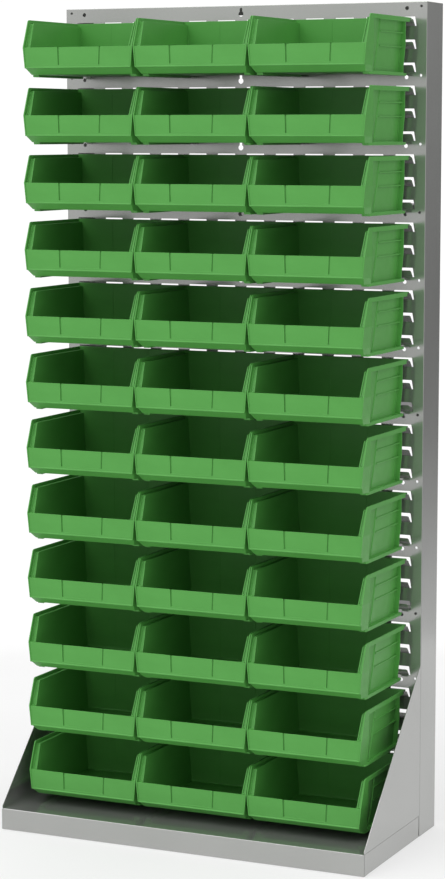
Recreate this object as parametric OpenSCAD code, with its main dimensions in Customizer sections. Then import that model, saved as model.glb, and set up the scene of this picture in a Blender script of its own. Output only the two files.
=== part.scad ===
// Louvred floor rack with hanging hopper-front parts bins.
// Millimetres. +Z is up, -Y is the front. The origin is on the floor, in the middle of the footprint.

/* [Rack] */
// Overall width of the rack
rack_w = 908; // [890:1:940]
// Overall height of the rack
rack_h = 1905; // [1905:1:2000]
// Depth of the posts behind the louvred sheet
post_d = 102.5; // [80:0.5:150]
// Width of the post flanges that the louvred sheet is fixed to
post_flange = 24; // [20:1:24]
// Thickness of the sheet steel
sheet_t = 1.5; // [1:0.1:2]
// Reach of the foot in front of the louvred sheet
foot_d = 347; // [300:1:420]
// Height of the foot
foot_h = 50; // [40:1:60]
// Height at which the side gussets meet the louvred sheet
gusset_top = 404; // [200:1:800]

/* [Louvres] */
// Height from one row of louvres to the next
louvre_pitch_z = 50.8; // [50:0.1:52]
// Distance from one louvre to the next along a row
louvre_pitch_x = 73.3; // [70:0.1:75]
// Louvres in one row
louvre_cols = 12; // [8:1:12]
// Width of a louvre window at its top edge
louvre_w = 44; // [30:1:46]
// How much wider the window is at each side of its bottom edge
louvre_flare = 4; // [1:0.5:5]
// Forward lean of the louvre tongues
louvre_lean = 42; // [30:1:45]

/* [Bins] */
// Bins in one column
bin_rows = 12; // [1:1:12]
// Outer width of a bin
bin_w = 278; // [270:1:279]
// Distance from one bin to the next along a row
bin_pitch_x = 279.4; // [279.4:0.1:285]
// Overall height of a bin, feet included
bin_h = 127; // [120:1:130]
// Reach of a bin's nose in front of the louvred sheet
bin_reach = 277; // [240:1:290]
// Wall thickness of a bin
bin_wall = 2.5; // [2:0.1:3]

/* [Hidden] */
bin_cols = 3;

paint = "#a3a5a3";
plastic = "#55a84a";

// Louvres come in threes, one set of three for each row of bins.
louvres_per_bin = 3;
louvre_rows = louvres_per_bin * bin_rows;
bin_pitch_z = louvres_per_bin * louvre_pitch_z;
first_louvre_z = rack_h - 35.3;
window_top = 2.65;
window_drop = 18;
tongue_gap = 0.6;

// The sheet's front face, the posts behind it and the foot in front of it.
overall_d = foot_d + sheet_t + post_d;
sheet_y = foot_d - overall_d / 2;
post_y = sheet_y + sheet_t;
back_y = post_y + post_d;
front_y = sheet_y - foot_d;

// Every band between two bin rows has a keyhole in the middle, and two holes near each edge.
band_up = 25.4;
edge_hole_x = 440;
edge_hole_d = 6;
inner_hole_x = 406;
inner_hole_d = 9;
key_head_d = 12.7;
key_head_drop = 9;
key_slot_w = 6.5;
key_slot_top = 5;

// Cross channels behind every third band.
bands_per_channel = 3;
channel_h = 30;
channel_up = 2.4;
channel_d = 30;
top_lip = 16;

// Foot.
seam_gap = 1.2;
post_gap = 3;
hem = 20;
gusset_tip = 6;

function bin_name(r, c) = str("bin_r", r < 10 ? "0" : "", r, "_c", c);
function louvre_z(i) = first_louvre_z - i * louvre_pitch_z;
function band_z(i) = first_louvre_z + band_up - i * bin_pitch_z;

// Profile in the YZ plane, centred on X = 0 and w wide.
module across(w) {
    rotate([90, 0, 90]) linear_extrude(w, center = true) children();
}

module box(low, high) {
    translate(low) cube(high - low);
}

// ---- Louvred sheet ----

module louvre_window() {
    polygon([
        [-louvre_w / 2, window_top],
        [louvre_w / 2, window_top],
        [louvre_w / 2 + louvre_flare, -window_drop],
        [-louvre_w / 2 - louvre_flare, -window_drop],
    ]);
}

// The tongue is the window's own metal, bent forward about the window's bottom edge.
module louvre_tongue() {
    length = window_top + window_drop;
    foot_w = louvre_w / 2 + louvre_flare - tongue_gap;
    translate([0, sheet_t, -window_drop])
        rotate([90 + louvre_lean, 0, 0])
            linear_extrude(sheet_t)
                polygon([
                    [-louvre_w / 2, length],
                    [louvre_w / 2, length],
                    [foot_w, -0.4],
                    [-foot_w, -0.4],
                ]);
}

module keyhole() {
    translate([0, -key_head_drop]) circle(d = key_head_d, $fn = 12);
    translate([-key_slot_w / 2, -key_head_drop]) square([key_slot_w, key_head_drop + key_slot_top]);
}

module louvre_panel() {
    louvre_x0 = -(louvre_cols - 1) / 2 * louvre_pitch_x;
    color(paint) translate([0, sheet_y, 0]) {
        translate([0, sheet_t, 0]) rotate([90, 0, 0]) linear_extrude(sheet_t) difference() {
            translate([-rack_w / 2, 0]) square([rack_w, rack_h]);
            for (i = [0:louvre_rows - 1], k = [0:louvre_cols - 1])
                translate([louvre_x0 + k * louvre_pitch_x, louvre_z(i)]) louvre_window();
            for (i = [0:bin_rows], side = [-1, 1]) {
                translate([side * edge_hole_x, band_z(i)]) circle(d = edge_hole_d + 0.5, $fn = 12);
                translate([side * inner_hole_x, band_z(i)]) circle(d = inner_hole_d, $fn = 12);
            }
            for (i = [0:bin_rows])
                translate([0, band_z(i)]) keyhole();
        }
        for (i = [0:louvre_rows - 1], k = [0:louvre_cols - 1])
            translate([louvre_x0 + k * louvre_pitch_x, 0, louvre_z(i)]) louvre_tongue();
    }
}

// ---- Frame ----

// Folded C-shaped post, open towards the middle of the rack, with a line of fixing holes
// through the flange that lies against the sheet.
module post() {
    color(paint) difference() {
        box([rack_w / 2 - post_flange, post_y, 0], [rack_w / 2, back_y, rack_h]);
        box([0, post_y + sheet_t, -1], [rack_w / 2 - sheet_t, back_y - sheet_t, rack_h + 1]);
        for (i = [0:bin_rows])
            translate([edge_hole_x, post_y, band_z(i)])
                rotate([90, 0, 0])
                    cylinder(h = 4 * sheet_t, d = edge_hole_d, center = true, $fn = 32);
    }
}

module right_post() {
    post();
}

module left_post() {
    mirror([1, 0, 0]) post();
}

// Channel between the posts, behind band number i, open to the rear.
module cross_channel(i) {
    inner_x = rack_w / 2 - sheet_t;
    rear = back_y - sheet_t;
    low = band_z(i) + channel_up - channel_h / 2;
    color(paint) difference() {
        box([-inner_x, rear - channel_d, low], [inner_x, rear, low + channel_h]);
        box([-inner_x - 1, rear - channel_d + sheet_t, low + sheet_t],
            [inner_x + 1, rear + 1, low + channel_h - sheet_t]);
    }
}

module top_channel() {
    inner_x = rack_w / 2 - sheet_t;
    rear = back_y - sheet_t;
    color(paint) {
        box([-inner_x, post_y + sheet_t, rack_h - sheet_t], [inner_x, rear, rack_h]);
        box([-inner_x, rear - sheet_t, rack_h - sheet_t - top_lip], [inner_x, rear, rack_h]);
    }
}

// ---- Foot ----

module foot_side() {
    box([rack_w / 2 - sheet_t, front_y + sheet_t + seam_gap, 0], [rack_w / 2, sheet_y - post_gap, foot_h]);
    box([rack_w / 2 - hem, front_y + hem + sheet_t, 0], [rack_w / 2, sheet_y - post_gap, sheet_t]);
}

module foot_tray() {
    color(paint) {
        box([-rack_w / 2, front_y, foot_h - sheet_t], [rack_w / 2, sheet_y, foot_h]);
        box([-rack_w / 2, front_y, 0], [rack_w / 2, front_y + sheet_t, foot_h]);
        box([-rack_w / 2, front_y, 0], [rack_w / 2, front_y + hem, sheet_t]);
        foot_side();
        mirror([1, 0, 0]) foot_side();
    }
}

module gusset(side) {
    color(paint) translate([side * (rack_w / 2 - sheet_t / 2), 0, 0]) across(sheet_t)
        polygon([
            [sheet_y, foot_h],
            [sheet_y, gusset_top],
            [front_y + 2, foot_h + gusset_tip],
            [front_y + 2, foot_h],
        ]);
}

// ---- Bins ----
// A bin's own frame: Y = 0 is the sheet's front face, Z = 0 the middle of the slit that it hooks into.

bin_top = -1.5;
bin_foot = bin_top - bin_h;
bin_under = bin_foot + 5;
rim_h = 10;
rim_low = bin_top - rim_h;
ledge_drop = 7.5;
half_w = bin_w / 2;
lip_in = half_w - bin_wall;
wall_out = half_w - 12;
panel_out = half_w - 8.5;
wall_in = wall_out - bin_wall;
rear_out = -14.5;
rear_in = rear_out - bin_wall;
top_front = -(bin_reach - 25);
nose_z = -63.5;
chin_z = -109.5;
chin_y = -(bin_reach - 9);
front_t = 3;
label_half_w = 51;
label_depth = 1.2;
fin_y = -42;
hook_out = -3.2;
hook_t = 2.6;
hook_drop = 9.5;
hook_top = -0.3;
hook_under = -2.1;

module bin_side_profile() {
    polygon([
        [rear_out, bin_top],
        [top_front, bin_top],
        [-bin_reach, nose_z],
        [chin_y, chin_z],
        [chin_y + 5, chin_z],
        [chin_y + 14, bin_under],
        [rear_out, bin_under],
    ]);
}

// Plan of the outer skin below the rim: front flange, raised middle panel, sloping rear panel, fin.
module bin_plan() {
    for (side = [0, 1]) mirror([side, 0]) polygon([
        [0, -bin_reach - 1],
        [half_w, -bin_reach - 1],
        [half_w, -238],
        [panel_out, -206],
        [panel_out, -90],
        [wall_out, fin_y],
        [half_w, fin_y],
        [half_w, fin_y + bin_wall],
        [wall_out, fin_y + bin_wall],
        [wall_out, rear_out],
        [0, rear_out],
    ]);
}

module bin_skin() {
    intersection() {
        across(bin_w) bin_side_profile();
        union() {
            translate([0, 0, bin_foot]) linear_extrude(rim_low + 1 - bin_foot) bin_plan();
            box([-half_w, -bin_reach, rim_low], [half_w, rear_out, bin_top]);
            box([-half_w, -bin_reach, bin_foot], [half_w, fin_y, bin_under + bin_wall]);
            for (z = [-31, -64])
                box([-panel_out - 1, -206, z - 1.5], [panel_out + 1, fin_y, z + 1.5]);
        }
    }
}

// Everything that is hollow inside the walls, with the open hopper front.
module bin_hollow() {
    across(2 * wall_in) polygon([
        [rear_in, 1],
        [rear_in, bin_under + bin_wall],
        [chin_y + 14 + front_t, bin_under + bin_wall],
        [chin_y + 5 + front_t, chin_z],
        [-bin_reach + front_t + 2, nose_z],
        [-bin_reach - 5, nose_z],
        [-bin_reach - 5, 1],
    ]);
    across(2 * lip_in) polygon([
        [rear_in, 1],
        [rear_in, rim_low + bin_wall],
        [top_front + ledge_drop, rim_low + bin_wall],
        [-bin_reach + 9.5, nose_z],
        [-bin_reach - 5, nose_z],
        [-bin_reach - 5, 1],
    ]);
}

// The front face lies inside the side lips, and its middle third takes a label card.
module front_recess(half, depth, low) {
    lean = (chin_y + bin_reach) / (nose_z - chin_z);
    across(2 * half) polygon([
        [-bin_reach - 5, nose_z + 2],
        [-bin_reach + depth - 2 * lean, nose_z + 2],
        [-bin_reach + depth + (nose_z - low) * lean, low],
        [-bin_reach - 5, low],
    ]);
}

module bin_foot_runner() {
    across(16) polygon([
        [-256, bin_under + 1],
        [-252, bin_foot],
        [-60, bin_foot],
        [-56, bin_under + 1],
    ]);
}

module bin_hook() {
    box([-half_w, rear_out - 1, hook_under], [half_w, hook_out, hook_top]);
    box([-half_w, rear_out - bin_wall, hook_under - 1], [half_w, rear_out, hook_top]);
    box([-half_w, hook_out - hook_t, -hook_drop], [half_w, hook_out, hook_top]);
}

module bin_solid() {
    difference() {
        bin_skin();
        bin_hollow();
        front_recess(lip_in, 2, chin_z);
        front_recess(label_half_w, 2 + label_depth, chin_z + 4);
    }
    bin_hook();
    for (side = [-1, 1])
        translate([side * 125, 0, 0]) bin_foot_runner();
}

module hanging_bin(r, c) {
    color(plastic)
        translate([(c - (bin_cols + 1) / 2) * bin_pitch_x, sheet_y, first_louvre_z - (r - 1) * bin_pitch_z])
            bin_solid();
}

// ---- Nodes ----

louvre_panel();
left_post();
right_post();
top_channel();
cross_channel(3);  // upper_cross_channel
cross_channel(6);  // middle_cross_channel
cross_channel(9);  // lower_cross_channel
cross_channel(12);  // bottom_cross_channel
foot_tray();
gusset(-1);  // left_gusset
gusset(1);  // right_gusset
for (r = [1:bin_rows], c = [1:bin_cols])
    hanging_bin(r, c);
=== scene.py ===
"""Looks of the louvred bin rack: painted sheet steel and moulded bins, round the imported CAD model."""

import math

import bmesh
import bpy
from mathutils import Matrix, Vector, geometry


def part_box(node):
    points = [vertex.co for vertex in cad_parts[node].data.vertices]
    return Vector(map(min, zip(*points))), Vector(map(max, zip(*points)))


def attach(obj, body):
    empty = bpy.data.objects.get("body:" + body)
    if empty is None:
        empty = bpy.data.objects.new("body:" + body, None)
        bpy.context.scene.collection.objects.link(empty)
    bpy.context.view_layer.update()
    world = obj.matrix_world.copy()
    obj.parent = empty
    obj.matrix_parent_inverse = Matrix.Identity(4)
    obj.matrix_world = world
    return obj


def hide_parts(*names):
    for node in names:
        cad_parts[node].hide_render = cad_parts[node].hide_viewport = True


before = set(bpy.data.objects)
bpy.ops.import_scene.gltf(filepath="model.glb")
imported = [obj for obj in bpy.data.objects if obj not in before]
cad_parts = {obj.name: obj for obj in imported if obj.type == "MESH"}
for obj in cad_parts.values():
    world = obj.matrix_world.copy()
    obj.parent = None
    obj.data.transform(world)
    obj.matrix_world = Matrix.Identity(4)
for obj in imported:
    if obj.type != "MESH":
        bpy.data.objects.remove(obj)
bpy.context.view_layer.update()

MM = 0.001

# ---- Sizes in millimetres, from the CAD nodes' boxes and the sheet-metal sizes ----

SHEET = 1.5
BEND = 2.4
panel_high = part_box("louvre_panel")[1] / MM
foot_low, foot_high = (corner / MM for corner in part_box("foot_tray"))
post_low, post_high = (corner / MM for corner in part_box("right_post"))
HALF_W = panel_high.x
TOP = panel_high.z
SHEET_Y = post_low.y - SHEET
FOOT_Y = foot_low.y
FOOT_TOP = foot_high.z

BIN_NODES = sorted(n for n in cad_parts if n.startswith("bin_"))
HOOK_TOP = -0.3

# Louvres: rows 2 inches apart, the first being the one that the top bins hook onto.
PITCH_Z = 50.8
PITCH_X = 73.3
LOUVRE_COLS = 12
LOUVRE_ROWS = 36
LOUVRES_PER_BIN = 3
HOLE_ROWS = LOUVRE_ROWS // LOUVRES_PER_BIN + 1
FIRST_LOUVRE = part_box("bin_r01_c1")[1].z / MM - HOOK_TOP
LOUVRE_HALF = 22.0
LOUVRE_FLARE = 3.5
WINDOW_TOP = 2.65
WINDOW_DROP = 18.0
WINDOW_CORNER = 1.2
LOUVRE_LEAN = math.radians(42)
TONGUE_GAP = 3.6
TONGUE_START = 2.6
TONGUE_CORNER = 2.5
PANEL_ROUND = 1.0

# Above every third louvre row is a row of holes: two at each side, and a keyhole in the middle.
HOLES_UP = 25.4
EDGE_HOLE_X = 440.0
EDGE_HOLE_R = 3.25
POST_HOLE_R = 3.0
INNER_HOLE_X = 406.0
INNER_HOLE_R = 4.5
INNER_HOLE_DROP = 4.0
HOLE_STEPS = 24
KEY_HEAD_R = 6.35
KEY_HEAD_DROP = 9.0
KEY_SLOT_HALF = 3.25
KEY_SLOT_TOP = 5.0

# Posts, channels and foot.
POST_FLANGE = 24
CHANNEL_GAP = 8.0
CHANNEL_EXTRA = 3.0
FOOT_HEM = 20
FOOT_SEAM = 2.0
FOOT_GAP = 6
FOOT_SIDE_TOP = 12
FOOT_SIDE_BEND = 1.3
FOOT_FACE_DROP = 1.2
GUSSET_SEAM = 1.2
GUSSET_TOE = 6


def hole_row_z(row):
    """Height of a row of holes, row 0 being the top one."""
    return FIRST_LOUVRE + HOLES_UP - row * LOUVRES_PER_BIN * PITCH_Z


# ---- Outlines and solids ----

# Half the angle of a corner that is too shallow for an arc, the width of a face that is shaded as part
# of a curve, and the distances within which points are the same and edges have no length.
NEARLY_STRAIGHT = math.radians(78)
STRIP_WIDTH = 1.6
MERGE = 0.05
TINY = 0.01


def rounded(points, radii, steps=8):
    """The closed outline through the points, with an arc of its own radius for each corner."""
    out = []
    for i, point in enumerate(points):
        r = radii[i]
        p = Vector(point)
        before = Vector(points[i - 1]) - p
        after = Vector(points[(i + 1) % len(points)]) - p
        if r <= 0:
            out.append(tuple(p))
            continue
        half = before.angle(after) / 2
        if half > NEARLY_STRAIGHT:
            out.append(tuple(p))
            continue
        cut = min(r / math.tan(half), 0.48 * before.length, 0.48 * after.length)
        r = cut * math.tan(half)
        centre = p + (before.normalized() + after.normalized()).normalized() * (r / math.sin(half))
        start = p + before.normalized() * cut - centre
        end = p + after.normalized() * cut - centre
        turn = math.atan2(start.x * end.y - start.y * end.x, start.dot(end))
        count = max(2, round(steps * abs(turn) / (math.pi / 2)))
        for k in range(count + 1):
            a = turn * k / count
            x = start.x * math.cos(a) - start.y * math.sin(a)
            y = start.x * math.sin(a) + start.y * math.cos(a)
            out.append((centre.x + x, centre.y + y))
    return out


def circle(x, y, r):
    angles = [2 * math.pi * k / HOLE_STEPS for k in range(HOLE_STEPS)]
    return [(x + r * math.cos(a), y + r * math.sin(a)) for a in angles]


def rectangle(x0, y0, x1, y1):
    return [(x0, y0), (x1, y0), (x1, y1), (x0, y1)]


def mirrored(outline):
    """The same outline on the other side of X = 0, with its points in the opposite order."""
    return [(-x, y) for x, y in outline[::-1]]


PLACE = {
    "x": lambda u, v, w: (w, u, v),
    "y": lambda u, v, w: (u, w, v),
    "z": lambda u, v, w: (u, v, w),
}


def new_object(name, mesh):
    piece = bpy.data.objects.new(name, mesh)
    bpy.context.scene.collection.objects.link(piece)
    return piece


def solid(outline, low, high, axis):
    """A closed outline drawn across an axis and carried from low to high along it."""
    bm = bmesh.new()
    ends = [[bm.verts.new(PLACE[axis](u, v, w)) for u, v in outline] for w in (low, high)]
    for ring in ends:
        bm.faces.new(ring)
    for i in range(len(outline)):
        bm.faces.new((ends[0][i - 1], ends[0][i], ends[1][i], ends[1][i - 1]))
    bmesh.ops.recalc_face_normals(bm, faces=bm.faces)
    mesh = bpy.data.meshes.new("solid")
    bm.to_mesh(mesh)
    bm.free()
    return new_object("solid", mesh)


def bake_modifiers(piece):
    """Makes the mesh what its modifiers give, and drops them."""
    graph = bpy.context.evaluated_depsgraph_get()
    graph.update()
    mesh = bpy.data.meshes.new_from_object(piece.evaluated_get(graph))
    piece.modifiers.clear()
    piece.data = mesh


def combine(target, operation, *tools):
    """Joins the tools to the target, or cuts them out of it, and removes them."""
    for tool in tools:
        step = target.modifiers.new("combine", "BOOLEAN")
        step.operation = operation
        step.solver = "MANIFOLD"
        step.object = tool
        bake_modifiers(target)
        bpy.data.objects.remove(tool)
    return target


def merge_flat(piece, *cuts):
    """Joins coplanar faces and coincident points, then splits the faces along the cutting planes."""
    bm = bmesh.new()
    bm.from_mesh(piece.data)
    bmesh.ops.remove_doubles(bm, verts=bm.verts, dist=MERGE)
    bmesh.ops.dissolve_degenerate(bm, dist=TINY, edges=bm.edges)
    bmesh.ops.dissolve_limit(bm, angle_limit=math.radians(1), verts=bm.verts, edges=bm.edges)
    for point, normal in cuts:
        everything = bm.verts[:] + bm.edges[:] + bm.faces[:]
        bmesh.ops.bisect_plane(bm, geom=everything, dist=TINY, plane_co=point, plane_no=normal)
    bm.to_mesh(piece.data)
    bm.free()


def limits(mesh):
    columns = list(zip(*(v.co for v in mesh.vertices)))
    return [min(c) for c in columns], [max(c) for c in columns]


def soften(piece, width):
    """Rounds every sharp edge, and keeps the rounding inside the piece's own box."""
    edge = piece.modifiers.new("edges", "BEVEL")
    edge.width = width
    edge.segments = 2
    edge.limit_method = "ANGLE"
    edge.angle_limit = math.radians(32)
    edge.use_clamp_overlap = False
    low, high = limits(piece.data)
    bake_modifiers(piece)
    for v in piece.data.vertices:
        v.co = Vector(min(max(c, a), b) for c, a, b in zip(v.co, low, high))
    crisp_normals(piece.data)


def crisp_normals(mesh):
    """Flat faces keep one normal all over, and the narrow strips between them turn smoothly."""
    corner = [v.co for v in mesh.vertices]
    shared = [Vector() for _ in corner]
    for face in mesh.polygons:
        for v in face.vertices:
            shared[v] += face.normal * face.area
    normals = [None] * len(mesh.loops)
    for face in mesh.polygons:
        around = sum((corner[a] - corner[b]).length for a, b in face.edge_keys)
        flat = 2 * face.area > STRIP_WIDTH * around
        for loop, v in zip(face.loop_indices, face.vertices):
            keep = flat or shared[v].length == 0
            normals[loop] = face.normal.copy() if keep else shared[v].normalized()
    mesh.shade_smooth()
    mesh.normals_split_custom_set(normals)


def folded(path, bend=BEND):
    """Outline of a sheet folded along an open path, which is its outer face, to the left of travel."""
    inner, outer = [], []
    steps = 4
    for i, point in enumerate(path):
        p = Vector(point)
        back = (p - Vector(path[i - 1])).normalized() if i > 0 else None
        ahead = (Vector(path[i + 1]) - p).normalized() if i < len(path) - 1 else None
        if back is None or ahead is None:
            way = ahead or back
            side = Vector((way.y, -way.x))
            outer.append(tuple(p))
            inner.append(tuple(p + side * SHEET))
            continue
        turn = math.atan2(back.x * ahead.y - back.y * ahead.x, back.dot(ahead))
        reach = bend * abs(math.tan(turn / 2))
        first = p - back * reach
        side = Vector((back.y, -back.x)) * (1 if turn < 0 else -1)
        centre = first + side * bend
        for k in range(steps + 1):
            a = turn * k / steps
            x = -side.x * math.cos(a) + side.y * math.sin(a)
            y = -side.x * math.sin(a) - side.y * math.cos(a)
            spoke = Vector((x, y))
            outer.append(tuple(centre + spoke * bend))
            inner.append(tuple(centre + spoke * (bend - SHEET if turn < 0 else bend + SHEET)))
    return outer + inner[::-1]


# ---- Louvred sheet ----


def louvre_window():
    """The window's outline, clockwise. Its first edge is the tongue's root, from right to left."""
    root = LOUVRE_HALF + LOUVRE_FLARE - TONGUE_GAP
    corner = LOUVRE_HALF + LOUVRE_FLARE
    top = rounded([
        (-corner, -WINDOW_DROP), (-LOUVRE_HALF, WINDOW_TOP),
        (LOUVRE_HALF, WINDOW_TOP), (corner, -WINDOW_DROP),
    ], [0, WINDOW_CORNER, WINDOW_CORNER, 0], 3)
    return [(root, -WINDOW_DROP), (-root, -WINDOW_DROP)] + top


def keyhole():
    """A round head below a narrow slot with a round top."""
    meet = math.asin(KEY_SLOT_HALF / KEY_HEAD_R)
    round_head = [meet + (2 * math.pi - 2 * meet) * k / 24 for k in range(25)]
    round_top = [math.pi - math.pi * k / 8 for k in range(9)]
    head = [(KEY_HEAD_R * math.sin(a), -KEY_HEAD_DROP + KEY_HEAD_R * math.cos(a)) for a in round_head]
    middle = KEY_SLOT_TOP - KEY_SLOT_HALF
    return head + [(KEY_SLOT_HALF * math.cos(a), middle + KEY_SLOT_HALF * math.sin(a)) for a in round_top]


def tongue_rings():
    """Stations up the tongue: half width, and the (y, z) of its lower and upper face."""
    length = WINDOW_TOP + WINDOW_DROP
    corner = TONGUE_CORNER
    stations = [TONGUE_START, length * 0.5]
    stations += [length - corner + corner * math.sin(math.pi / 8 * k) for k in range(5)]
    along = Vector((-math.sin(LOUVRE_LEAN), math.cos(LOUVRE_LEAN)))
    through = Vector((-math.cos(LOUVRE_LEAN), -math.sin(LOUVRE_LEAN)))
    rings = []
    for s in stations:
        half = LOUVRE_HALF + (LOUVRE_FLARE - TONGUE_GAP) * (1 - s / length)
        past = max(0.0, s - (length - corner))
        half -= corner - math.sqrt(max(0.0, corner ** 2 - past ** 2))
        upper = Vector((SHEET, -WINDOW_DROP)) + along * s
        rings.append((half, upper + through * SHEET, upper))
    return rings


def in_hole(face, points, loop_of, loops):
    """A triangle that has all its corners on one hole lies in that hole if its middle does."""
    number = loop_of[face[0]]
    if number == 0 or any(loop_of[i] != number for i in face):
        return False
    middle = (points[face[0]] + points[face[1]] + points[face[2]]) / 3
    inside = False
    loop = loops[number]
    for (x0, y0), (x1, y1) in zip(loop, loop[1:] + loop[:1]):
        crosses = (y0 > middle.y) != (y1 > middle.y)
        if crosses and middle.x < x0 + (x1 - x0) * (middle.y - y0) / (y1 - y0):
            inside = not inside
    return inside


def louvred_sheet():
    """One closed sheet: its front and rear are triangulated round the windows and holes, in step."""
    edge = PANEL_ROUND
    loops = [rectangle(-HALF_W + edge, edge, HALF_W - edge, TOP - edge)]
    windows = []
    for row in range(LOUVRE_ROWS):
        for col in range(LOUVRE_COLS):
            at = ((col - (LOUVRE_COLS - 1) / 2) * PITCH_X, FIRST_LOUVRE - row * PITCH_Z)
            windows.append((len(loops), at))
            loops.append([(x + at[0], z + at[1]) for x, z in louvre_window()])
    for row in range(HOLE_ROWS):
        z = hole_row_z(row)
        for side in (-1, 1):
            loops.append(circle(side * EDGE_HOLE_X, z, EDGE_HOLE_R)[::-1])
            loops.append(circle(side * INNER_HOLE_X, z - INNER_HOLE_DROP, INNER_HOLE_R)[::-1])
        loops.append([(x, z + dz) for x, dz in keyhole()])

    flat = [Vector(p) for loop in loops for p in loop]
    starts = [0]
    for loop in loops:
        starts.append(starts[-1] + len(loop))
    spans = list(zip(starts, starts[1:]))
    edges = [(a + i, a + (i + 1) % (b - a)) for a, b in spans for i in range(b - a)]
    made, _, faces, origin, _, _ = geometry.delaunay_2d_cdt(flat, edges, [], 1, 1e-5)
    place = {source: i for i, sources in enumerate(origin) for source in sources}
    loop_of = {place[i]: n for n, (a, b) in enumerate(spans) for i in range(a, b)}
    faces = [face for face in faces if not in_hole(face, made, loop_of, loops)]

    bm = bmesh.new()
    front = [bm.verts.new((v.x, SHEET_Y, v.y)) for v in made]
    rear = [bm.verts.new((v.x, SHEET_Y + SHEET, v.y)) for v in made]
    for face in faces:
        bm.faces.new([front[i] for i in face])
        bm.faces.new([rear[i] for i in reversed(face)])
    rings = tongue_rings()
    tongue_roots = {starts[loop]: at for loop, at in windows}
    for number, (a, b) in enumerate(edges):
        if number < len(loops[0]):
            continue
        quad = (front[place[a]], front[place[b]], rear[place[b]], rear[place[a]])
        if a in tongue_roots and b == a + 1:
            add_tongue(bm, quad, tongue_roots[a], rings)
        else:
            bm.faces.new(quad)

    # The front outline is PANEL_ROUND short of the sheet's edge, and is rounded over to meet it.
    outer = [front[place[i]] for i in range(4)]
    for k in range(1, 4):
        a = math.pi / 6 * k
        out, back = edge * math.sin(a), edge * (1 - math.cos(a))
        ring = []
        for v in outer:
            z = edge - out if v.co.z < TOP / 2 else TOP - edge + out
            ring.append(bm.verts.new((math.copysign(HALF_W - edge + out, v.co.x), SHEET_Y + back, z)))
        for i in range(4):
            bm.faces.new((outer[i - 1], outer[i], ring[i], ring[i - 1]))
        outer = ring
    rim = [bm.verts.new((v.co.x, SHEET_Y + SHEET, v.co.z)) for v in outer]
    last = [rear[place[i]] for i in range(4)]
    for i in range(4):
        bm.faces.new((outer[i - 1], outer[i], rim[i], rim[i - 1]))
        bm.faces.new((rim[i - 1], rim[i], last[i], last[i - 1]))
    bmesh.ops.recalc_face_normals(bm, faces=bm.faces)
    mesh = bpy.data.meshes.new("louvred_sheet")
    bm.to_mesh(mesh)
    bm.free()
    return new_object("louvred_sheet", mesh)


def add_tongue(bm, root, at, rings):
    """Grows a tongue from the quad at a window's lower edge, which starts at the front right."""
    x, z = at
    last = list(root)
    for half, lower, upper in rings:
        ring = [bm.verts.new(c) for c in (
            (x + half, SHEET_Y + lower.x, z + lower.y),
            (x - half, SHEET_Y + lower.x, z + lower.y),
            (x - half, SHEET_Y + upper.x, z + upper.y),
            (x + half, SHEET_Y + upper.x, z + upper.y),
        )]
        for i in range(4):
            bm.faces.new((last[i - 1], last[i], ring[i], ring[i - 1]))
        last = ring
    bm.faces.new(last)


# ---- Frame and foot ----


def post(side):
    """C-shaped post, folded from sheet. Its front flange is behind the louvred sheet's edge holes."""
    flange = HALF_W - POST_FLANGE
    front, rear = post_low.y, post_high.y
    outline = folded([(flange, rear), (HALF_W, rear), (HALF_W, front), (flange, front)])
    piece = solid(outline if side > 0 else mirrored(outline), 0, TOP, "z")
    for row in range(HOLE_ROWS):
        hole = circle(side * EDGE_HOLE_X, hole_row_z(row), POST_HOLE_R)
        combine(piece, "DIFFERENCE", solid(hole, front - 2, front + SHEET + 4, "y"))
    return piece


def node_limits(node):
    return (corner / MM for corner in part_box(node))


def cross_channel(node):
    """Channel with its web CHANNEL_GAP behind the sheet, where it closes the holes in front of it."""
    low, high = node_limits(node)
    low.y, low.z = post_low.y + CHANNEL_GAP, low.z - CHANNEL_EXTRA
    path = [(high.y, low.z), (low.y, low.z), (low.y, high.z), (high.y, high.z)]
    return solid(folded(path), low.x, high.x, "x")


def top_channel():
    """Angle that closes the top of the rack, with its flange down at the rear."""
    low, high = node_limits("top_channel")
    path = [(low.y, high.z), (high.y, high.z), (high.y, low.z)]
    return solid(folded(path), low.x, high.x, "x")


def foot_tray():
    """Tray with top and front in one fold, and side flanges that leave an open seam at the front."""
    hem_y, hem_x = FOOT_Y + FOOT_HEM, HALF_W - FOOT_HEM
    front = folded([(hem_y, 0), (FOOT_Y, 0), (FOOT_Y, FOOT_TOP), (SHEET_Y, FOOT_TOP)])
    tray = solid(front, -HALF_W + BEND, HALF_W - BEND, "x")
    face = folded([(hem_y, 0), (FOOT_Y, 0), (FOOT_Y, FOOT_TOP - FOOT_FACE_DROP)])
    combine(tray, "UNION", solid(face, -HALF_W, HALF_W, "x"))
    side_path = [(HALF_W - FOOT_SIDE_TOP, FOOT_TOP), (HALF_W, FOOT_TOP), (HALF_W, 0), (hem_x, 0)]
    right = folded(side_path, FOOT_SIDE_BEND)
    for outline in (mirrored(right), right):
        flange = solid(outline, FOOT_Y + SHEET + FOOT_SEAM, SHEET_Y - FOOT_GAP, "y")
        combine(tray, "UNION", flange)
    return tray


def gusset(side):
    """Triangular side plate between the foot and the post."""
    low, high = node_limits("right_gusset")
    rear = SHEET_Y - GUSSET_SEAM
    outline = rounded([
        (rear, FOOT_TOP), (rear, high.z), (low.y, FOOT_TOP + GUSSET_TOE), (low.y, FOOT_TOP),
    ], [0, 0, 3, 1])
    return solid(outline, *sorted((side * low.x, side * high.x)), "x")


# ---- Bin ----
# Its own frame: Y = 0 is the sheet's front face, Z = 0 the middle of the slit that it hooks into.
# PAST is how far cutting tools reach past the front.

BIN_HALF = 139.0
BIN_REACH = 277.0
BIN_TOP = 0.0
BIN_UNDER = -123.5
BIN_FOOT = -128.5
WALL = 2.5
PAST = 5

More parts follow.
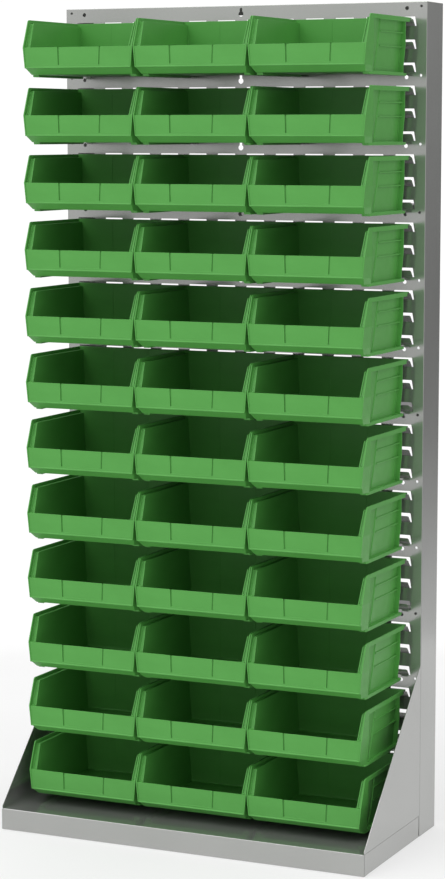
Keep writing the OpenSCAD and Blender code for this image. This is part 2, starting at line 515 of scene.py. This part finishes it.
# Plan: the walls, the raised panel on each side, the lips round them, and the fin at the rear.
WALL_OUT = BIN_HALF - 12
WALL_IN = WALL_OUT - WALL
PANEL_OUT = BIN_HALF - 8.5
LIP_IN = BIN_HALF - WALL
GROOVE_OUT = BIN_HALF - 5
REAR_OUT = -14.5
REAR_IN = REAR_OUT - WALL
FLANGE_Y = -232.0
PANEL_Y = -188.0
PANEL_REAR = -92.0
FIN_Y = -42.0

# Side profile: rim, nose, front face, chin, and the strip below it that runs back to the floor.
RIM_LOW = BIN_TOP - 10
TOP_FRONT = -(BIN_REACH - 25)
NOSE_Z = -62.5
CHIN_Y = -BIN_REACH + 0.5
CHIN_Z = -109.5
STRIP_RUN = 22
STRIP_REAR = CHIN_Y + STRIP_RUN
CUT_Y = -BIN_REACH - PAST

# Front face: a lip below it, and a label field between two slots.
FACE_DEPTH = 2
CHIN_LIP = 3.5
FIELD_UP = 4
FIELD_DEPTH = 2.8
SLOT = 3.4
SLOT_DEPTH = 5
LABEL_LEFT = -47.5
LABEL_RIGHT = 54.5

# Draft: how far each edge or wall leans over its height, and the cut corners of the strip.
FLANGE_SLANT = -6.0
PANEL_SLANT = 15.0
FRONT_TAPER = 4.6
CORNER_CUT = 6.0
WALL_FLARE = 3.0

# Ribs on the side panels, ribs on the rear wall, runners below, and the hook.
RIBS = (-35.0, -66.0)
RIB_HALF = 1.5
REAR_RIBS = (-46, 46)
RUNNER_X = 131.0
RUNNER_HALF = 8
RUNNER_FRONT = -243
RUNNER_REAR = -20
HOOK_OUT = -3.2
HOOK_IN = -5.8
HOOK_LOW = -9.5
HOOK_UNDER = -2.1
BIN_EDGE = 0.4


def across(points, half):
    """A side profile, as wide to the left as to the right."""
    return solid(points, -half, half, "x")


def box(x0, y0, z0, x1, y1, z1):
    return solid(rectangle(x0, y0, x1, y1), z0, z1, "z")


def bin_skin():
    """The outside: the side profile, within the plan of rim, flange, side panel, fin and ribs."""
    profile = rounded([
        (REAR_OUT, BIN_TOP), (TOP_FRONT, BIN_TOP), (-BIN_REACH, NOSE_Z), (CHIN_Y, CHIN_Z),
        (CHIN_Y + 5, CHIN_Z), (STRIP_REAR, BIN_UNDER), (REAR_OUT, BIN_UNDER),
    ], [0, 7, 4, 1.2, 0.8, 3, 3])
    ahead = -BIN_REACH - 1
    half_plan = rounded([
        (0, ahead), (BIN_HALF, ahead), (BIN_HALF, FLANGE_Y), (PANEL_OUT - 2, PANEL_Y),
        (PANEL_OUT, PANEL_Y + 1), (PANEL_OUT, PANEL_REAR), (WALL_OUT, FIN_Y), (BIN_HALF, FIN_Y),
        (BIN_HALF, FIN_Y + WALL), (WALL_OUT, FIN_Y + WALL), (WALL_OUT, REAR_OUT), (0, REAR_OUT),
    ], [0, 0, 0, 0, 0, 3, 1, 0.5, 0.5, 1, 3, 0], 3)
    plan = half_plan + [(-x, y) for x, y in half_plan[-2:0:-1]]
    within = solid(plan, BIN_FOOT, RIM_LOW + 1, "z")
    parts = [
        box(-BIN_HALF, ahead, RIM_LOW, BIN_HALF, REAR_OUT + 0.02, BIN_TOP + 1),
        box(-BIN_HALF, ahead, BIN_FOOT, BIN_HALF, FIN_Y, BIN_UNDER + WALL),
    ]
    for z in RIBS:
        low, high = z - RIB_HALF, z + RIB_HALF
        parts.append(box(-PANEL_OUT - 2, PANEL_Y + 8, low, PANEL_OUT + 2, FIN_Y + 0.5, high))
    combine(within, "UNION", *parts)
    return combine(across(profile, BIN_HALF), "INTERSECT", within)


def bin_hollow():
    """The inside: the hollow itself, the ledge inside the side lips, and the groove along each lip."""
    floor = BIN_UNDER + WALL
    ledge_z = RIM_LOW + WALL
    inner = rounded([
        (REAR_IN, 1), (REAR_IN, floor), (CHIN_Y + 26, floor), (CHIN_Y + 9, CHIN_Z),
        (-BIN_REACH + 6, NOSE_Z), (CUT_Y, NOSE_Z), (CUT_Y, 1),
    ], [0, 5, 6, 6, 1, 0, 0])
    ledge = rounded([
        (REAR_IN, 1), (REAR_IN, ledge_z), (TOP_FRONT + 7.5, ledge_z), (-BIN_REACH + 9.5, NOSE_Z),
        (CUT_Y, NOSE_Z), (CUT_Y, 1),
    ], [0, 0, 5, 1, 0, 0])
    groove = [
        (TOP_FRONT + 10, 1), (TOP_FRONT + 10, ledge_z + 0.5), (-BIN_REACH + 12, NOSE_Z + 1),
        (CUT_Y, NOSE_Z + 1), (CUT_Y, 1),
    ]
    left = solid(groove, -GROOVE_OUT, -WALL_OUT, "x")
    right = solid(groove, WALL_OUT, GROOVE_OUT, "x")
    return across(inner, WALL_IN), across(ledge, LIP_IN), left, right


def front_recess(low_x, high_x, depth, low, slope=0.0):
    """Cuts into the front face between two X, down to a lower edge that slopes forward."""
    above = NOSE_Z + 2
    deep = -BIN_REACH + depth
    profile = [(CUT_Y, above), (deep, above), (deep, low), (CUT_Y, low - slope * (depth + PAST))]
    return solid(profile, low_x, high_x, "x")


def bin_hook():
    """Rear hook: a flange over the louvre tongues and a lip down behind them."""
    outline = rounded([
        (REAR_IN, HOOK_UNDER - 1), (REAR_OUT - 1, HOOK_UNDER), (HOOK_IN, HOOK_UNDER), (HOOK_IN, HOOK_LOW),
        (HOOK_OUT, HOOK_LOW), (HOOK_OUT, HOOK_TOP), (REAR_IN, HOOK_TOP),
    ], [0, 0, 0.3, 0.8, 0.8, 1.2, 0.8])
    return across(outline, BIN_HALF)


def runner(x):
    """Raised strip under the floor, with sloping ends."""
    outline = rounded([
        (RUNNER_FRONT, BIN_UNDER + 1), (RUNNER_FRONT + 3, BIN_FOOT),
        (RUNNER_REAR - 2, BIN_FOOT), (RUNNER_REAR, BIN_UNDER + 1),
    ], [0, 2, 1, 0])
    return solid(outline, x - RUNNER_HALF, x + RUNNER_HALF, "x")


def share(value):
    """The value, kept between 0 and 1."""
    return min(1.0, max(0.0, value))


def draft(mesh):
    """Moulding draft: the flange's and panel's edges slant, the walls lean out above the nose, the sides
    lean in below it, and the strip under the chin has cut corners."""
    ledge_z = RIM_LOW + WALL
    for v in mesh.vertices:
        down = (RIM_LOW - v.co.z) / (RIM_LOW - BIN_UNDER)
        if abs(v.co.y - PANEL_Y) < 2 and WALL_OUT - 0.3 < abs(v.co.x) < PANEL_OUT + 0.3:
            v.co.y += PANEL_SLANT * (0.5 - down)
        if WALL_IN - 1 < abs(v.co.x) < PANEL_OUT + 2.3 and NOSE_Z < v.co.z < ledge_z + 0.1:
            v.co.x *= 1 + WALL_FLARE * (v.co.z - NOSE_Z) / (ledge_z - NOSE_Z) / WALL_OUT
        if abs(abs(v.co.x) - BIN_HALF) < 0.3 and abs(v.co.y - FLANGE_Y) < 0.3:
            v.co.y += FLANGE_SLANT * (0.5 - down)
        below = share((NOSE_Z - v.co.z) / (NOSE_Z - CHIN_Z))
        under = share((CHIN_Z - v.co.z) / (CHIN_Z - BIN_UNDER))
        ahead = share((FLANGE_Y - v.co.y) / (FLANGE_Y - CHIN_Y - STRIP_RUN))
        v.co.x *= 1 - (below * FRONT_TAPER + under * ahead * CORNER_CUT) / BIN_HALF


def bin_mesh():
    """The one mesh that all the bins share, in metres."""
    piece = bin_skin()
    combine(piece, "DIFFERENCE", *bin_hollow())
    lip = CHIN_Z + CHIN_LIP
    field = lip + FIELD_UP
    combine(
        piece, "DIFFERENCE",
        front_recess(-LIP_IN, LIP_IN, FACE_DEPTH, lip, 1.0),
        front_recess(LABEL_LEFT, LABEL_RIGHT, FIELD_DEPTH, field),
        front_recess(LABEL_LEFT - SLOT, LABEL_LEFT, SLOT_DEPTH, field),
        front_recess(LABEL_RIGHT, LABEL_RIGHT + SLOT, SLOT_DEPTH, field),
    )
    parts = [bin_hook(), runner(-RUNNER_X), runner(RUNNER_X)]
    for x in REAR_RIBS:
        parts.append(box(x - 1, REAR_IN - 0.6, BIN_UNDER + 1, x + 1, REAR_IN + 0.5, BIN_TOP - 4))
    combine(piece, "UNION", *parts)
    up, forward = (0, 0, 1), (0, 1, 0)
    merge_flat(piece, ((0, 0, NOSE_Z), up), ((0, 0, CHIN_Z), up), ((0, FLANGE_Y, 0), forward))
    draft(piece.data)
    soften(piece, BIN_EDGE)
    mesh = piece.data
    bpy.data.objects.remove(piece)
    mesh.transform(Matrix.Scale(MM, 4))
    mesh.name = "hanging_bin"
    return mesh


# ---- Materials ----

PAINT_DARK = (0.39, 0.395, 0.382)
PAINT_LIGHT = (0.425, 0.43, 0.417)
PAINT_FLECK = (0.48, 0.482, 0.475)
PAINT_METALLIC = 0.75
PLASTIC_DARK = (0.073, 0.29, 0.052)
PLASTIC_LIGHT = (0.082, 0.315, 0.06)
PLASTIC_DUST = (0.135, 0.37, 0.105)


def map_range(tree, value, start, end, low, high, shape="LINEAR"):
    """Adds a node that turns start to end into low to high, and gives its output."""
    node = tree.nodes.new("ShaderNodeMapRange")
    node.interpolation_type = shape
    settings = {"From Min": start, "From Max": end, "To Min": low, "To Max": high}
    for name, number in settings.items():
        node.inputs[name].default_value = number
    tree.links.new(value, node.inputs["Value"])
    return node.outputs["Result"]


class Nodes:
    """A material with its Principled shader, and short ways to add nodes."""

    def __init__(self, name):
        self.material = bpy.data.materials.new(name)
        self.material.use_nodes = True
        self.tree = self.material.node_tree
        self.shader = self.tree.nodes["Principled BSDF"]
        self.where = self.tree.nodes.new("ShaderNodeTexCoord").outputs["Object"]

    def set(self, **values):
        for name, value in values.items():
            self.shader.inputs[name.replace("_", " ")].default_value = value

    def noise(self, scale, detail=2.0, roughness=0.5, stretch=None):
        node = self.tree.nodes.new("ShaderNodeTexNoise")
        node.inputs["Scale"].default_value = scale
        node.inputs["Detail"].default_value = detail
        node.inputs["Roughness"].default_value = roughness
        source = self.where
        if stretch:
            mapping = self.tree.nodes.new("ShaderNodeMapping")
            mapping.inputs["Scale"].default_value = stretch
            self.tree.links.new(self.where, mapping.inputs["Vector"])
            source = mapping.outputs["Vector"]
        self.tree.links.new(source, node.inputs["Vector"])
        return node.outputs["Fac"]

    def spread(self, value, low, high, start=0.3, end=0.7):
        """The value from start to end becomes low to high."""
        return map_range(self.tree, value, start, end, low, high)

    def mix(self, factor, a, b):
        """Mixes two colours, each three numbers or the output of a node."""
        node = self.tree.nodes.new("ShaderNodeMix")
        node.data_type = "RGBA"
        sockets = {socket.identifier: socket for socket in node.inputs}
        for name, colour in (("A_Color", a), ("B_Color", b)):
            if isinstance(colour, tuple):
                sockets[name].default_value = (*colour, 1)
            else:
                self.tree.links.new(colour, sockets[name])
        self.tree.links.new(factor, sockets["Factor_Float"])
        return next(socket for socket in node.outputs if socket.identifier == "Result_Color")

    def bump(self, height, distance, strength=1.0, below=None):
        node = self.tree.nodes.new("ShaderNodeBump")
        node.inputs["Distance"].default_value = distance
        node.inputs["Strength"].default_value = strength
        self.tree.links.new(height, node.inputs["Height"])
        if below:
            self.tree.links.new(below, node.inputs["Normal"])
        return node.outputs["Normal"]

    def to(self, socket, value):
        self.tree.links.new(value, self.shader.inputs[socket])


def rack_paint():
    """Glossy metallic grey enamel: orange peel, faint clouding, fine fleck, and duller streaks."""
    m = Nodes("grey_enamel")
    m.set(Metallic=PAINT_METALLIC, Specular_IOR_Level=0.5)
    clouds = m.spread(m.noise(3.0, 3), 0, 1)
    fleck = m.spread(m.noise(900, 2), 0, 1)
    tone = m.mix(clouds, PAINT_DARK, PAINT_LIGHT)
    m.to("Base Color", m.mix(m.spread(fleck, 0, 0.16, 0, 1), tone, PAINT_FLECK))
    streaks = m.noise(14, 4, 0.6, stretch=(1, 1, 0.15))
    m.to("Roughness", m.spread(streaks, 0.13, 0.19))
    peel = m.bump(m.noise(320, 2), 0.00002)
    m.to("Normal", m.bump(m.noise(9, 2), 0.0002, 0.5, below=peel))
    return m.material


def bin_plastic():
    """Moulded green polypropylene: faint flow marks, a little dust, fine grain, and a patchy sheen."""
    m = Nodes("green_polypropylene")
    m.set(Specular_IOR_Level=0.3)
    flow = m.spread(m.noise(11, 4, 0.55, stretch=(1, 1, 2.2)), 0, 1)
    tone = m.mix(flow, PLASTIC_DARK, PLASTIC_LIGHT)
    dust = m.spread(m.noise(420, 3, 0.6), 0, 0.1, 0.45, 0.75)
    m.to("Base Color", m.mix(dust, tone, PLASTIC_DUST))
    m.to("Roughness", m.spread(m.noise(26, 4, 0.6), 0.34, 0.44))
    grain = m.bump(m.noise(2600, 2), 0.00003, 0.6)
    m.to("Normal", m.bump(m.noise(30, 2), 0.0001, 0.4, below=grain))
    return m.material


# ---- The object ----


FOLDED_EDGE = 0.3
GUSSET_EDGE = 0.35


def add_rack():
    """The eleven painted pieces. The louvred sheet is made with its own rounded edge."""
    paint = rack_paint()
    pieces = [
        (louvred_sheet, (), "louvre_panel", 0),
        (post, (-1,), "left_post", FOLDED_EDGE),
        (post, (1,), "right_post", FOLDED_EDGE),
        (top_channel, (), "top_channel", FOLDED_EDGE),
        (foot_tray, (), "foot_tray", FOLDED_EDGE),
        (gusset, (-1,), "left_gusset", GUSSET_EDGE),
        (gusset, (1,), "right_gusset", GUSSET_EDGE),
    ]
    for level in ("upper", "middle", "lower", "bottom"):
        node = level + "_cross_channel"
        pieces.append((cross_channel, (node,), node, FOLDED_EDGE))
    for make, values, node, edge in pieces:
        piece = make(*values)
        if edge:
            merge_flat(piece)
            soften(piece, edge)
        piece.data.transform(Matrix.Scale(MM, 4))
        piece.data.materials.clear()
        piece.data.materials.append(paint)
        piece.name = "painted_" + node
        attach(piece, "rack")
        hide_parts(node)


def add_bins():
    """The bins, each placed by its CAD node's box and riding on its own body."""
    mesh = bin_mesh()
    mesh.materials.clear()
    mesh.materials.append(bin_plastic())
    for node in BIN_NODES:
        low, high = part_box(node)
        piece = new_object("moulded_" + node, mesh)
        piece.location = ((low.x + high.x) / 2, SHEET_Y * MM, high.z - HOOK_TOP * MM)
        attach(piece, "hung_" + node)
        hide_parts(node)


# ---- Stage ----

CAMERA_LENS = 102.03
CAMERA_SENSOR = 36
CAMERA_PLACE = (2.3875, -5.1567, 1.6207)
CAMERA_TILT = math.radians(82.928)
CAMERA_TURN = math.radians(24.757)

FLOOR_RADIUS = 2.6
FLOOR_DROP = 0.0005
FLOOR_FADE = 2.0
FLOOR_GLOW = (0.5, 0.64)
FLOOR_DARK = (0.33, 0.33, 0.33)
FLOOR_LIGHT = (0.37, 0.37, 0.37)

BACKGROUND = 1.05
KEY_PLACE = (-1.5, -4.5, 4.5)
KEY_TARGET = (0, 0, 0.9)
KEY_SIDE = 3.0
KEY_POWER = 45


def add_camera():
    data = bpy.data.cameras.new("camera")
    data.lens = CAMERA_LENS
    data.sensor_width = CAMERA_SENSOR
    camera = bpy.data.objects.new("camera", data)
    camera.location = CAMERA_PLACE
    camera.rotation_euler = (CAMERA_TILT, 0, CAMERA_TURN)
    bpy.context.scene.collection.objects.link(camera)
    bpy.context.scene.camera = camera


def add_floor():
    """A pale disc that glows a little, so that its shadows stay soft and its rim fades out."""
    bm = bmesh.new()
    bmesh.ops.create_circle(bm, cap_ends=True, segments=128, radius=FLOOR_RADIUS)
    mesh = bpy.data.meshes.new("floor")
    bm.to_mesh(mesh)
    bm.free()
    floor = new_object("floor", mesh)
    floor.location.z = -FLOOR_DROP
    m = Nodes("pale_floor")
    m.set(Roughness=0.8, Specular_IOR_Level=0.1, Emission_Color=(1, 1, 1, 1))
    away = m.tree.nodes.new("ShaderNodeVectorMath")
    away.operation = "LENGTH"
    m.tree.links.new(m.where, away.inputs[0])
    m.to("Emission Strength", m.spread(away.outputs["Value"], *FLOOR_GLOW, FLOOR_FADE, FLOOR_RADIUS))
    m.to("Base Color", m.mix(m.noise(2), FLOOR_DARK, FLOOR_LIGHT))
    mesh.materials.append(m.material)


def add_world():
    """A soft studio: brightest above, bright in front, darker behind, and plain white when seen."""
    world = bpy.data.worlds.new("studio")
    world.use_nodes = True
    bpy.context.scene.world = world
    tree = world.node_tree
    new, link = tree.nodes.new, tree.links.new
    background = tree.nodes["Background"]
    background.inputs["Color"].default_value = (1, 1, 1, 1)
    way = new("ShaderNodeSeparateXYZ")
    link(new("ShaderNodeTexCoord").outputs["Generated"], way.inputs["Vector"])

    def ramp(axis, start, end, low, high):
        return map_range(tree, way.outputs[axis], start, end, low, high, "SMOOTHSTEP")

    def math_node(operation, a, b):
        node = new("ShaderNodeMath")
        node.operation = operation
        for socket, value in zip(node.inputs, (a, b)):
            if isinstance(value, float):
                socket.default_value = value
            else:
                link(value, socket)
        return node.outputs[0]

    # Y points away from the front, and Z up. A ramp runs from one strength to another along one of them.
    level = ramp("Z", -0.1, 0.1, 0.19, 0.34)
    base = math_node("MULTIPLY", level, ramp("Y", 1.0, 0.93, 0.0, 1.0))
    walls = math_node("ADD", base, ramp("Y", 0.45, -0.5, 0.0, 0.6))
    lamp = ramp("Z", 0.7, 0.85, 0.0, 0.75)
    above = math_node("ADD", lamp, ramp("Z", 0.25, 0.9, 0.0, 0.55))
    ground = ramp("Z", -0.06, -0.26, 0.0, 1.0)
    studio = math_node("MAXIMUM", math_node("ADD", walls, above), ground)
    seen = new("ShaderNodeLightPath").outputs["Is Camera Ray"]
    white = math_node("MULTIPLY", seen, BACKGROUND)
    other = math_node("MULTIPLY", math_node("SUBTRACT", 1.0, seen), studio)
    link(math_node("ADD", white, other), background.inputs["Strength"])
    bpy.context.scene.view_settings.view_transform = "Standard"


def add_key_light():
    data = bpy.data.lights.new("key", "AREA")
    data.shape = "RECTANGLE"
    data.size = KEY_SIDE
    data.size_y = KEY_SIDE
    data.energy = KEY_POWER
    light = bpy.data.objects.new("key", data)
    light.location = KEY_PLACE
    way = Vector(KEY_TARGET) - Vector(KEY_PLACE)
    light.rotation_euler = way.to_track_quat("-Z", "Y").to_euler()
    bpy.context.scene.collection.objects.link(light)


add_rack()
add_bins()
add_camera()
add_floor()
add_world()
add_key_light()
